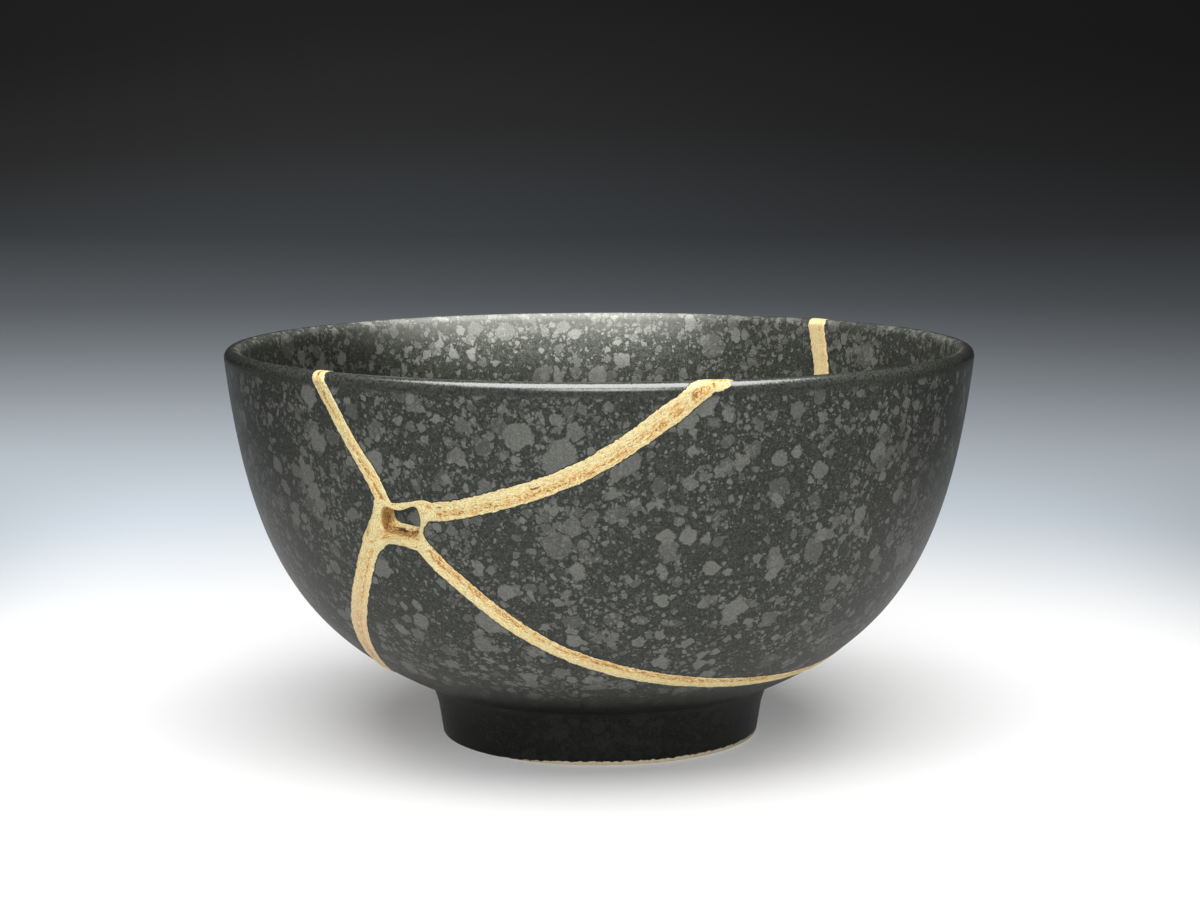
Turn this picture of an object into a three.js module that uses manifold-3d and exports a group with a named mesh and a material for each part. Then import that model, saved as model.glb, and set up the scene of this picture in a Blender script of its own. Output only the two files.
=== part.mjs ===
// Kintsugi bowl: a small stoneware rice bowl with a dark speckled glaze, once broken into four
// shards and joined again with gold lacquer. Three cracks run down from the rim and a fourth
// one rings the lower wall. Where the front cracks meet, a chip is lost: a gold collar lines the
// open hole that it left.
//
// Millimetres, +Z up. The origin is on the bowl's axis, in the plane that the foot stands on.
// A place on the wall is an azimuth in degrees, 0 at the front (-Y) and growing towards +X, and
// a height above the foot.

import * as THREE from 'three';
import { mergeVertices } from 'three/addons/utils/BufferGeometryUtils.js';
import Module from 'manifold-3d';

// Driving dimensions

const RIM_RADIUS = 60;            // outside of the lip
const BOWL_HEIGHT = 63.4;         // top of the lip
const LIP_RADIUS = 1.4;           // the lip is a half round
const LOWER_WALL = 4.4;           // wall thickness just above the foot
const FLOOR_HEIGHT = 10.6;        // inside floor at the axis
const FLOOR_CORNER_RADIUS = 25;   // where the lines of the floor and the wall would meet

const BELLY_LOWER_PULL = new THREE.Vector2(49, 17.9);    // the belly curves towards these two
const BELLY_UPPER_PULL = new THREE.Vector2(56.6, 31.7);
const SHOULDER_RADIUS = 28.5;     // where the belly meets the foot
const SHOULDER_HEIGHT = 8.9;
const FILLET_RADIUS = 27.4;       // middle of the fillet between them
const FILLET_HEIGHT = 7.7;
const FOOT_TOP_RADIUS = 26.8;     // foot ring, narrower at the bottom
const FOOT_TOP_HEIGHT = 6.4;
const FOOT_RADIUS = 25.7;
const FOOT_WIDTH = 4.2;           // foot ring, outside to inside
const FOOT_CHAMFER = 0.35;
const RECESS_DEPTH = 6.2;         // hollow under the foot
const RECESS_CORNER = 1.5;

const SEAM_PROUD = 0.4;           // the lacquer stands above both faces of the wall
const SEAM_NECK = 1.2;            // and is this wide in the middle of the wall
const SEAM_INSIDE = 0.85;         // width inside the bowl, against the width outside
const SEAM_GAP = 0.3;             // clearance between the lacquer and each shard
const SEAM_ABOVE = 3;             // a seam's blade reaches this far out past the outer face
const SEAM_FACE_DEPTH = 0.3;      // keeps its full width down to here,
const SEAM_NECK_DEPTH = 1.7;      // is narrowest here,
const SEAM_BACK_DEPTH = 3.2;      // has its inside width from here
const SEAM_BELOW = 8;             // and ends here, past the inner face
const NECK_FADE_START = 8;        // the neck fades out from this far below the lip
const NECK_FADE_END = 3;          // to this far below it
const CRACK_CENTRE_DROP = 4;      // the cracks' centre lies this far below the lip's top
const COLLAR_HALF_HEIGHT = 4;
const SEAM_STEP = 5.5;            // length of a seam's facets
const SEAM_SAMPLES = 200;         // chords that measure a seam's length

const TURN_STEPS = 48;            // facets round the bowl
const BELLY_STEPS = 8;            // facets up the wall
const LIP_STEPS = 4;
const FLOOR_STEPS = 3;
const WELD_DISTANCE = 1e-4;
const SHARE_TOLERANCE = 1e-6;
const PROBE_RADIUS = 1;           // ball in mid-wall that picks a shard out
const PROBE_DEPTH = 1.5;

// Cracks, as [azimuth, height, width of the lacquer] from one end to the other

const LEFT_FRONT_SEAM = [
  [-32.4, 43.5, 2.5],
  [-34.6, 48.7, 2.5],
  [-37.4, 53.2, 2.2],
  [-40.6, 58.8, 2.2],
  [-42.2, 61.5, 2.3],
  [-44.5, 66, 2.3],
];
const RIGHT_FRONT_SEAM = [
  [-28.5, 43.7, 2.9],
  [-22, 44.4, 2.8],
  [-14.8, 46.2, 2.9],
  [-7.6, 48.5, 2.8],
  [-1, 51.5, 2.8],
  [5.5, 55.8, 3],
  [12, 60.8, 3.1],
  [18, 66, 3.1],
];
const BACK_SEAM = [
  [131, 22.5, 3],
  [131.5, 33, 3],
  [133.4, 44, 3.1],
  [135.6, 54.8, 3.2],
  [137.4, 61.6, 3.3],
  [138.5, 66, 3.3],
];
const RING_SEAM = [
  [-33.5, 40.5, 3],
  [-37.2, 37.6, 3],
  [-40.8, 32.7, 3],
  [-44.5, 28.3, 3.1],
  [-48.9, 23.7, 3.1],
  [-54.4, 18.6, 3],
  [-62, 14.4, 2.9],
  [-75, 12.6, 2.8],
  [-100, 12.4, 2.7],
  [-130, 13.4, 2.6],
  [-165, 16, 2.6],
  [-195, 19.8, 2.6],
  [-229, 22.5, 2.7],
  [-250, 19.8, 2.6],
  [-275, 16, 2.6],
  [-305, 14.2, 2.6],
  [-329, 15.1, 2.6],
  [-344, 16.7, 2.6],
  [-358, 19.6, 2.5],
  [-368.3, 23.3, 2.2],
  [-374.9, 27.3, 2.2],
  [-380.9, 32.3, 2.4],
  [-385, 36, 2.5],
  [-388, 39.5, 2.5],
];

// Outer edge of the collar round the hole, then the hole itself, as [azimuth, height]

const COLLAR_OUTLINE = [
  [-34.5, 45.3],
  [-31, 44.9],
  [-28, 45.4],
  [-25, 45.5],
  [-23.9, 43.1],
  [-25.3, 42.7],
  [-26.8, 40.7],
  [-25.9, 38.4],
  [-28, 37.9],
  [-30.5, 38.4],
  [-33.3, 38.5],
  [-36, 37.3],
  [-38.6, 38.2],
  [-36.7, 41.2],
  [-35.2, 43.4],
];
const HOLE_OUTLINE = [
  [-33.1, 44.2],
  [-30.4, 43.9],
  [-27.3, 44.5],
  [-26.9, 42.8],
  [-27.9, 40.3],
  [-31.9, 40.1],
  [-33.7, 40.5],
];

// Profile of the bowl

const belly = new THREE.CubicBezierCurve(
  new THREE.Vector2(SHOULDER_RADIUS, SHOULDER_HEIGHT),
  BELLY_LOWER_PULL,
  BELLY_UPPER_PULL,
  new THREE.Vector2(RIM_RADIUS, BOWL_HEIGHT - LIP_RADIUS),
);

/** Point at a given share of the belly's curve, moved square to it by a distance, + outwards. */
function besideBelly(share, distance) {
  const tangent = belly.getTangent(share);
  const outwards = new THREE.Vector2(tangent.y, -tangent.x);
  return belly.getPoint(share).addScaledVector(outwards, distance);
}

/** Half section of the bowl, from the axis to the axis, with the wall thickened by extra. */
function bowlProfile(extra) {
  const footInside = FOOT_RADIUS - FOOT_WIDTH;
  const points = [
    new THREE.Vector2(0, RECESS_DEPTH),
    new THREE.Vector2(footInside - 2 * RECESS_CORNER, RECESS_DEPTH),
    new THREE.Vector2(footInside - RECESS_CORNER, RECESS_DEPTH - RECESS_CORNER / 2),
    new THREE.Vector2(footInside, FOOT_CHAMFER),
    new THREE.Vector2(footInside + FOOT_CHAMFER, 0),
    new THREE.Vector2(FOOT_RADIUS - FOOT_CHAMFER, 0),
    new THREE.Vector2(FOOT_RADIUS, FOOT_CHAMFER),
    new THREE.Vector2(FOOT_TOP_RADIUS, FOOT_TOP_HEIGHT),
    new THREE.Vector2(FILLET_RADIUS, FILLET_HEIGHT),
  ];
  for (let step = 0; step < BELLY_STEPS; step++) {
    points.push(besideBelly(step / BELLY_STEPS, extra));
  }
  const lipCentre = belly.getPoint(1).addScaledVector(new THREE.Vector2(-1, 0), LIP_RADIUS);
  for (let step = 0; step <= LIP_STEPS; step++) {
    const turn = Math.PI * step / LIP_STEPS;
    const direction = new THREE.Vector2(Math.cos(turn), Math.sin(turn));
    points.push(lipCentre.clone().addScaledVector(direction, LIP_RADIUS + extra));
  }
  for (let step = BELLY_STEPS - 1; step >= 1; step--) {
    const share = step / BELLY_STEPS;
    const wall = THREE.MathUtils.lerp(LOWER_WALL, 2 * LIP_RADIUS, share);
    points.push(besideBelly(share, -wall - extra));
  }
  const floor = new THREE.QuadraticBezierCurve(
    points[points.length - 1].clone(),
    new THREE.Vector2(FLOOR_CORNER_RADIUS, FLOOR_HEIGHT + extra),
    new THREE.Vector2(0, FLOOR_HEIGHT + extra),
  );
  points.push(...floor.getPoints(FLOOR_STEPS).slice(1));
  return points;
}

/** Radius of the outer wall at a height; above the lip it stays that of the lip. */
function wallRadius(height) {
  let low = 0;
  let high = 1;
  while (high - low > SHARE_TOLERANCE) {
    const middle = (low + high) / 2;
    if (belly.getPoint(middle).y < height) low = middle;
    else high = middle;
  }
  return belly.getPoint(low).x;
}

// Every crack goes through the wall along straight lines that meet at one point on the axis, so
// its faces stand nearly square to the wall all over the bowl.

const CRACK_CENTRE = new THREE.Vector3(0, 0, BOWL_HEIGHT - CRACK_CENTRE_DROP);

/** Place on the outer wall, moved along its crack line by a depth, + outwards. */
function wallPoint(azimuth, height, depth) {
  const turn = THREE.MathUtils.degToRad(azimuth);
  const radius = wallRadius(height);
  const place = new THREE.Vector3(radius * Math.sin(turn), -radius * Math.cos(turn), height);
  const outwards = place.clone().sub(CRACK_CENTRE).normalize();
  return place.addScaledVector(outwards, depth);
}

// Solids

const wasm = await Module();
wasm.setup();

/** Closed geometry as a solid that can be cut and joined. */
function solidFrom(geometry) {
  const bare = geometry.clone();
  bare.deleteAttribute('normal');
  bare.deleteAttribute('uv');
  const merged = mergeVertices(bare, WELD_DISTANCE);
  const vertProperties = new Float32Array(merged.attributes.position.array);
  const triVerts = new Uint32Array(merged.index.array);
  return new wasm.Manifold(new wasm.Mesh({ numProp: 3, vertProperties, triVerts }));
}

/** The bowl turned from its profile, with the wall thickened by extra. */
function turnedBowl(extra) {
  const geometry = new THREE.LatheGeometry(bowlProfile(extra), TURN_STEPS);
  geometry.rotateX(Math.PI / 2);
  return solidFrom(geometry);
}

/**
 * Blade of lacquer along one crack, reaching past both faces of the wall. Its section is full
 * width at the faces and narrow in the middle of the wall, but not where it wraps the lip.
 */
function seamBlade(route, clearance) {
  const curve = new THREE.CatmullRomCurve3(route.map((point) => new THREE.Vector3(...point)));
  const places = (count) => Array.from({ length: count + 1 }, (_, i) => curve.getPoint(i / count));
  const onWall = (point) => wallPoint(point.x, point.y, 0);
  const length = places(SEAM_SAMPLES).reduce(
    (sum, point, i, all) => sum + (i ? onWall(point).distanceTo(onWall(all[i - 1])) : 0), 0);
  const stations = places(Math.round(length / SEAM_STEP));

  const vertices = [];
  stations.forEach((point, i) => {
    const before = onWall(stations[Math.max(i - 1, 0)]);
    const after = onWall(stations[Math.min(i + 1, stations.length - 1)]);
    const outwards = wallPoint(point.x, point.y, 1).sub(onWall(point));
    const sideways = after.sub(before).cross(outwards).normalize();
    const nearLip = THREE.MathUtils.smoothstep(
      point.y, BOWL_HEIGHT - NECK_FADE_START, BOWL_HEIGHT - NECK_FADE_END);
    const wide = point.z / 2;
    const inside = wide * SEAM_INSIDE;
    const neck = THREE.MathUtils.lerp(SEAM_NECK / 2, inside, nearLip);
    const halfSection = [
      [SEAM_ABOVE, wide],
      [-SEAM_FACE_DEPTH, wide],
      [-SEAM_NECK_DEPTH, neck],
      [-SEAM_BACK_DEPTH, inside],
      [-SEAM_BELOW, inside],
    ];
    const section = [
      ...halfSection,
      ...halfSection.map(([depth, half]) => [depth, -half]).reverse(),
    ];
    for (const [depth, half] of section) {
      const place = wallPoint(point.x, point.y, depth);
      place.addScaledVector(sideways, half + Math.sign(half) * clearance);
      vertices.push(...place.toArray());
    }
  });

  const around = vertices.length / 3 / stations.length;
  const faces = [];
  for (let i = 0; i + 1 < stations.length; i++) {
    for (let j = 0; j < around; j++) {
      const a = i * around + j;
      const b = i * around + (j + 1) % around;
      faces.push(a, b, b + around, a, b + around, a + around);
    }
  }
  const last = (stations.length - 1) * around;
  for (let j = 0; j + 1 < around / 2; j++) {
    const across = around - 1 - j;
    const cap = [j, across, j + 1, j + 1, across, across - 1];
    faces.push(...cap, ...cap.map((k) => last + k).reverse());
  }
  return solidFrom(new THREE.BufferGeometry()
    .setAttribute('position', new THREE.Float32BufferAttribute(vertices, 3))
    .setIndex(faces));
}

/** Plug through the wall with the given outline, spread about its middle by a factor. */
function wallPlug(outline, spread) {
  const corners = outline.map((corner) => new THREE.Vector2(...corner));
  const middle = new THREE.Box2().setFromPoints(corners).getCenter(new THREE.Vector2());
  const shape = new THREE.Shape(
    corners.map((corner) => corner.sub(middle).multiplyScalar(spread).add(middle)));
  const reach = SEAM_ABOVE + SEAM_BELOW;
  const geometry = new THREE.ExtrudeGeometry(shape, { depth: reach, bevelEnabled: false });
  const position = geometry.attributes.position;
  for (let i = 0; i < position.count; i++) {
    const place = wallPoint(position.getX(i), position.getY(i), position.getZ(i) - SEAM_BELOW);
    position.setXYZ(i, ...place.toArray());
  }
  return solidFrom(geometry);
}

/** All the cracks and the collar as one cutter, widened by a clearance on every side. */
function seamNetwork(clearance) {
  const collar = wallPlug(COLLAR_OUTLINE, 1 + clearance / COLLAR_HALF_HEIGHT);
  const seams = [LEFT_FRONT_SEAM, RIGHT_FRONT_SEAM, BACK_SEAM, RING_SEAM];
  return seams.reduce((network, seam) => network.add(seamBlade(seam, clearance)), collar);
}

const shards = turnedBowl(0).subtract(seamNetwork(SEAM_GAP)).decompose();
const lacquer = turnedBowl(SEAM_PROUD).intersect(seamNetwork(0)).subtract(wallPlug(HOLE_OUTLINE, 1));

/** The shard that has the given place on the wall. */
function shardAt(azimuth, height) {
  const probe = new THREE.SphereGeometry(PROBE_RADIUS, 8, 6);
  probe.translate(...wallPoint(azimuth, height, -PROBE_DEPTH).toArray());
  return shards.find((shard) => shard.intersect(solidFrom(probe)).volume() > 0);
}

// Assembly

const glaze = { color: 0x353836, roughness: 0.55, metalness: 0 };
const gold = { color: 0xd8ad62, roughness: 0.42, metalness: 0.7 };

const bowl = new THREE.Group();

/** Adds one solid to the bowl as a named mesh with its own finish. */
function place(name, solid, finish) {
  const { vertProperties, triVerts } = solid.getMesh();
  const geometry = new THREE.BufferGeometry()
    .setAttribute('position', new THREE.BufferAttribute(vertProperties, 3))
    .setIndex(new THREE.BufferAttribute(triVerts, 1));
  geometry.computeVertexNormals();
  const mesh = new THREE.Mesh(geometry, new THREE.MeshStandardMaterial(finish));
  mesh.name = name;
  bowl.add(mesh);
}

place('front_rim_shard', shardAt(-15, 57), glaze);
place('left_wall_shard', shardAt(-120, 40), glaze);
place('right_wall_shard', shardAt(60, 40), glaze);
place('foot_shard', shardAt(-150, 9.5), glaze);
place('gold_lacquer_seams', lacquer, gold);

export default bowl;
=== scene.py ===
from math import pi, radians

import bpy
import numpy as np
from mathutils import Matrix, Vector


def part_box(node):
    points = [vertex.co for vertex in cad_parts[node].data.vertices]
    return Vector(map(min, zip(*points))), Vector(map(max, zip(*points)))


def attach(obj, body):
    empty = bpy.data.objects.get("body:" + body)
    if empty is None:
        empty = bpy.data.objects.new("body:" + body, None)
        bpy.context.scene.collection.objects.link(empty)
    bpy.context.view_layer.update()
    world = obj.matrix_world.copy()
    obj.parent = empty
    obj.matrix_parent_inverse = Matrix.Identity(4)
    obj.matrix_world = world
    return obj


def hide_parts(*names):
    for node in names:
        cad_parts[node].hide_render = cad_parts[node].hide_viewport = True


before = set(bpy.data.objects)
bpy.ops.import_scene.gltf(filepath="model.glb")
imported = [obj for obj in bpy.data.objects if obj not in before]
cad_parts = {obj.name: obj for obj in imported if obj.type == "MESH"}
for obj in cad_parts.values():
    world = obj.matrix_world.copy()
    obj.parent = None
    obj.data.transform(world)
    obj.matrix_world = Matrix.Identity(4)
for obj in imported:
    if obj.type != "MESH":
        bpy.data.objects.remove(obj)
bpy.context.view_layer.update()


# ------------------------------------------------------------------------------------------
# The thrown bowl. Dark stoneware, turned in one piece on a wheel, with a ring foot trimmed
# below. This is the whole pot, before it broke. Its outline runs from the axis under the
# foot, up the outside, over the lip and down the inside to the axis again.

MM = 0.001
lip_radius = 1.4
lower_wall = 4.4
rim_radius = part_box("left_wall_shard")[1][1] / MM
bowl_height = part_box("left_wall_shard")[1][2] / MM
rim_margin, rim_drop = 0.01, 1.56
belly_points = np.array([(28.5, 8.9), (49.0, 17.9), (56.6, 31.6),
                         (rim_radius - rim_margin, bowl_height - rim_drop)])


def bezier(share, points):
    """Bezier curve: each control point weighted by its Bernstein polynomial of the share."""
    degree = len(points) - 1
    share = np.asarray(share, dtype=float)[..., None]
    binomial = [1, 3, 3, 1] if degree == 3 else [1, 2, 1]
    return sum(
        binomial[k] * (1 - share) ** (degree - k) * share**k * np.asarray(points[k], dtype=float)
        for k in range(degree + 1)
    )


def arc(centre, radius, start, end, count=24):
    """Points of a circle about a centre, between two angles in degrees."""
    turn = np.radians(np.linspace(start, end, count))
    return np.stack([centre[0] + radius * np.cos(turn), centre[1] + radius * np.sin(turn)], -1)


def outward(share):
    """Unit normal of the belly: its tangent turned clockwise, level at and above the lip."""
    step = 1e-4
    share = np.clip(share, 0, 1 - step)
    tangent = bezier(share + step, belly_points) - bezier(share, belly_points)
    normal = np.stack([tangent[..., 1], -tangent[..., 0]], -1)
    return normal / np.linalg.norm(normal, axis=-1, keepdims=True)


def beside_belly(share, distance):
    """The belly's curve, run on straight above the lip, moved along its normal."""
    share = np.asarray(share, dtype=float)
    above = 3 * (belly_points[3] - belly_points[2]) * np.maximum(share - 1, 0)[..., None]
    return bezier(np.clip(share, 0, 1), belly_points) + above + outward(share) * distance[..., None]


def wall_thickness(share):
    """Wall, thinning evenly from the foot to the lip."""
    return lower_wall + (2 * lip_radius - lower_wall) * np.clip(share, 0, 1)


foot_radius = 25.7
foot_inside = 21.5
foot_edge = 0.35
recess_depth = 6.2
recess_corner = 1.5
floor_height = 10.6
floor_share = 0.125
floor_corner_radius = 25
foot_top = np.array([26.4, 4.8])
foot_corner = np.array([27.25, 8.35])

belly_share = np.linspace(0, 1, 900)
inside_share = np.linspace(1, floor_share, 800)
lip_tilt = np.degrees(np.arctan2(*outward(1.0)[::-1]))
lip_centre = belly_points[3] - outward(1.0) * lip_radius
belly_line = bezier(belly_share, belly_points)
inside_line = beside_belly(inside_share, -wall_thickness(inside_share))

pieces_of_outline = [
    np.linspace((0, recess_depth + 0.2), (foot_inside - recess_corner, recess_depth), 200),
    arc((foot_inside - recess_corner, recess_depth - recess_corner), recess_corner, 90, 0),
    np.linspace((foot_inside, recess_depth - recess_corner), (foot_inside, foot_edge), 40),
    arc((foot_inside + foot_edge, foot_edge), foot_edge, 180, 270, 12),
    np.linspace((foot_inside + foot_edge, 0), (foot_radius - foot_edge, 0), 30),
    arc((foot_radius - foot_edge, foot_edge), foot_edge, 270, 360, 12),
    np.linspace((foot_radius, foot_edge), foot_top, 50),
    bezier(np.linspace(0, 1, 60), [foot_top, foot_corner, belly_points[0]]),
    belly_line,
    arc(lip_centre, lip_radius, lip_tilt, 180 + lip_tilt, 120),
    inside_line,
    bezier(np.linspace(0, 1, 400),
           [inside_line[-1], (floor_corner_radius, floor_height), (0, floor_height)]),
]
outline = np.concatenate([piece[:-1] for piece in pieces_of_outline] + [pieces_of_outline[-1][-1:]])
outline_along = np.concatenate([[0], np.cumsum(np.linalg.norm(np.diff(outline, axis=0), axis=1))])
outline_slope = np.gradient(outline, outline_along, axis=0)
outline_normal = np.stack([outline_slope[:, 1], -outline_slope[:, 0]], -1)
piece_starts = np.cumsum([0] + [len(piece) - 1 for piece in pieces_of_outline])
belly_start, lip_first, inside_start = piece_starts[8:11]
belly_along = outline_along[belly_start:belly_start + len(belly_share)]
lip_along = outline_along[lip_first:inside_start + 1]
inside_along = outline_along[inside_start:inside_start + len(inside_share)]


def on_wall(azimuth, along, lift=0.0):
    """Place on the bowl in mm: azimuth in degrees (0 at the front), distance along the outline,
    then lifted off the surface along its normal."""
    turn = np.radians(azimuth)
    radius = np.interp(along, outline_along, outline[:, 0])
    radius = radius + lift * np.interp(along, outline_along, outline_normal[:, 0])
    height = np.interp(along, outline_along, outline[:, 1])
    height = height + lift * np.interp(along, outline_along, outline_normal[:, 1])
    return np.stack(np.broadcast_arrays(radius * np.sin(turn), -radius * np.cos(turn), height), -1)


def grid_quads(rows, columns, close_columns=False):
    """Quads of a grid of vertices stored row by row, each row joined to its start if closed."""
    row, column = np.meshgrid(
        np.arange(rows - 1), np.arange(columns if close_columns else columns - 1), indexing="ij")
    a = row * columns + column
    b = row * columns + (column + 1) % columns
    return np.stack([a, a + columns, b + columns, b], -1).reshape(-1, 4)


def mesh_object(name, vertices, faces, **pairs):
    """Object with a smooth mesh of vertices given in mm, and a UV map for each array of pairs."""
    mesh = bpy.data.meshes.new(name)
    mesh.from_pydata((np.asarray(vertices).reshape(-1, 3) * MM).tolist(), [], faces)
    mesh.shade_smooth()
    corner = np.zeros(len(mesh.loops), np.int32)
    mesh.loops.foreach_get("vertex_index", corner)
    for title, values in pairs.items():
        mesh.uv_layers.new(name=title).data.foreach_set(
            "uv", np.asarray(values, np.float32).reshape(-1, 2)[corner].ravel())
    made = bpy.data.objects.new(name, mesh)
    bpy.context.scene.collection.objects.link(made)
    return made


# Rows of the turned form lie close together round the lip and the edges of the foot.
close_rows, wide_rows, tight_bend = 0.14, 0.8, 0.1
bend = [np.gradient(outline_slope[:, k], outline_along) for k in (0, 1)]
row_gap = np.where(bend[0] ** 2 + bend[1] ** 2 > tight_bend, close_rows, wide_rows)
row_count = np.cumsum(np.gradient(outline_along) / row_gap)
row_along = np.interp(np.arange(1, int(row_count[-1])), row_count, outline_along)
turn_steps = 288
turn = np.linspace(0, 360, turn_steps, endpoint=False)
ring_vertices = on_wall(turn[None, :], row_along[:, None]).reshape(-1, 3)
pot_vertices = np.concatenate([ring_vertices, [(0, 0, outline[0, 1]), (0, 0, outline[-1, 1])]])
wall_faces = grid_quads(len(row_along), turn_steps, close_columns=True)[:, ::-1].tolist()
step, next_step = np.arange(turn_steps), np.roll(np.arange(turn_steps), -1)
last_row = (len(row_along) - 1) * turn_steps
under_pole = np.full(turn_steps, len(pot_vertices) - 2)
under_faces = np.stack([under_pole, next_step, step], -1).tolist()
floor_faces = np.stack([under_pole + 1, last_row + step, last_row + next_step], -1).tolist()
pot_along = np.concatenate([np.repeat(row_along, turn_steps), [0, outline_along[-1]]])
pot_turned = np.stack([pot_along, np.zeros_like(pot_along)], -1)
pot = mesh_object("pot", pot_vertices, wall_faces + under_faces + floor_faces, turned=pot_turned)


# ------------------------------------------------------------------------------------------
# The four shards. The thrown bowl broke into a foot with the lower wall, a left wall, a right
# wall and one piece of the front rim. Every break goes through the wall towards one point on
# the axis, a little under the rim, and a small flake is lost where the three front breaks meet.

centre_drop = 4
break_centre = bowl_height - centre_drop  # height of the point that every break runs towards
break_gap = 0.12
break_outside = 1.0
break_inside = -8.0
route_step, blade_step = 0.1, 0.8

# Each break is a list of azimuth in degrees, height in mm, and width of its later repair in mm.
left_front_break = [(-32.4, 43.5, 2.5), (-34.6, 48.7, 2.5), (-37.4, 53.2, 2.2), (-40.6, 58.8, 2.2),
                    (-42.2, 61.5, 2.3), (-44.5, 66, 2.3)]
right_front_break = [(-28.5, 43.7, 2.9), (-22, 44.4, 2.8), (-14.8, 46.2, 2.9), (-7.6, 48.5, 2.8),
                     (-1, 51.5, 2.8), (5.5, 55.8, 3), (12, 60.8, 3.1), (18, 66, 3.1)]
back_break = [(131, 22.5, 3), (131.5, 33, 3), (133.4, 44, 3.1), (135.6, 54.8, 3.2),
              (137.4, 61.6, 3.3), (138.5, 66, 3.3)]
ring_break = [(-33.5, 40.5, 3), (-37.2, 37.6, 3), (-40.8, 32.7, 3), (-44.5, 28.3, 3.1),
              (-48.9, 23.7, 3.1), (-54.4, 18.6, 3), (-62, 14.4, 2.9), (-75, 12.6, 2.8),
              (-100, 12.4, 2.7), (-130, 13.4, 2.6), (-165, 16, 2.6), (-195, 19.8, 2.6),
              (-229, 22.5, 2.7), (-250, 19.8, 2.6), (-275, 16, 2.4), (-305, 14.2, 2.3),
              (-329, 15.1, 2.9), (-344, 16.7, 2.95), (-358, 19.6, 2.85), (-368.3, 23.3, 2.6),
              (-374.9, 27.3, 2.6), (-380.9, 32.3, 2.6), (-385, 36, 2.6), (-388, 39.5, 2.5)]

# Outlines of the lost flake and of the gold collar round it, as azimuth and height.
flake_centre = np.array([-30.3, 42.2])
flake_outline = [(-33.1, 44.2), (-30.4, 43.9), (-27.3, 44.5), (-26.9, 42.8), (-27.9, 40.3),
                 (-31.9, 40.1), (-33.7, 40.5)]
collar_outline = [(-34.5, 45.3), (-31, 44.9), (-28, 45.4), (-25, 45.5), (-23.9, 43.1),
                  (-25.3, 42.7), (-26.8, 40.7), (-25.9, 38.4), (-28, 37.9), (-30.5, 38.4),
                  (-33.3, 38.5), (-36, 37.3), (-38.6, 38.2), (-36.7, 41.2), (-35.2, 43.4)]
flake_cut_share = 0.7
plug_sides = 120


def smooth_line(points, spacing):
    """Cubic Hermite line through the points; the slope at each comes from its two neighbours."""
    points = np.asarray(points, dtype=float)
    knots = np.concatenate([[0], np.cumsum(np.linalg.norm(np.diff(points[:, :2], axis=0), axis=1))])
    slopes = np.gradient(points, knots, axis=0)
    at = np.linspace(0, knots[-1], int(knots[-1] / spacing) + 1)
    k = np.clip(np.searchsorted(knots, at, side="right") - 1, 0, len(knots) - 2)
    gap = (knots[k + 1] - knots[k])[:, None]
    u = (at - knots[k])[:, None] / gap
    return ((2 * u**3 - 3 * u**2 + 1) * points[k] + (u**3 - 2 * u**2 + u) * gap * slopes[k]
            + (3 * u**2 - 2 * u**3) * points[k + 1] + (u**3 - u**2) * gap * slopes[k + 1])


def radius_about_flake(closed_outline, bearing):
    """Distance from the flake's centre to a closed outline, in each direction in degrees."""
    points = np.asarray(closed_outline, dtype=float) - flake_centre
    line = smooth_line(np.concatenate([points] * 3), route_step)
    direction = np.unwrap(np.arctan2(line[:, 1], line[:, 0]))
    order = np.argsort(direction)
    reach = np.linalg.norm(line, axis=1)
    bearing = np.radians(bearing)
    bearing = bearing + 2 * pi * np.round((direction.mean() - bearing) / (2 * pi))
    return np.interp(bearing, direction[order], reach[order])


def belly_share_at(height):
    """Share of the belly's curve at a height; the curve runs on straight above the lip."""
    above = 3 * (belly_points[3, 1] - belly_points[2, 1])
    top = belly_points[3, 1]
    return np.interp(height, belly_line[:, 1], belly_share) + np.maximum(height - top, 0) / above


def swept(loops, closed=False):
    """Closed loops of vertices joined one after another, and capped at both ends if open."""
    count, around = loops.shape[:2]
    row = np.concatenate([np.arange(count), [0]]) if closed else np.arange(count)
    start, end = row[:-1, None] * around, row[1:, None] * around
    a, b = np.arange(around)[None, :], np.roll(np.arange(around), -1)[None, :]
    faces = np.stack([start + a, start + b, end + b, end + a], -1).reshape(-1, 4).tolist()
    if not closed:
        faces += [list(range(around))[::-1], list(range((count - 1) * around, count * around))]
    return loops.reshape(-1, 3), faces


def ray_from_centre(azimuth, height):
    """Place on the outside at an azimuth and height, and the direction to it from the breaks' centre."""
    place = beside_belly(belly_share_at(height), np.zeros(np.shape(height)))
    turn = np.radians(azimuth)
    place = np.stack([place[:, 0] * np.sin(turn), -place[:, 0] * np.cos(turn), place[:, 1]], -1)
    ray = place - (0, 0, break_centre)
    return place, ray / np.linalg.norm(ray, axis=1, keepdims=True)


def break_blade(name, route):
    """Thin blade along a break: half the gap to each side, and through the wall along the rays."""
    line = smooth_line(route, blade_step)
    place, ray = ray_from_centre(line[:, 0], line[:, 1])
    aside = np.cross(np.gradient(place, axis=0), ray)
    aside *= break_gap / 2 / np.linalg.norm(aside, axis=1, keepdims=True)
    corners = [place + aside + ray * break_outside, place - aside + ray * break_outside,
               place - aside + ray * break_inside, place + aside + ray * break_inside]
    return mesh_object(name, *swept(np.stack(corners, 1)))


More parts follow.
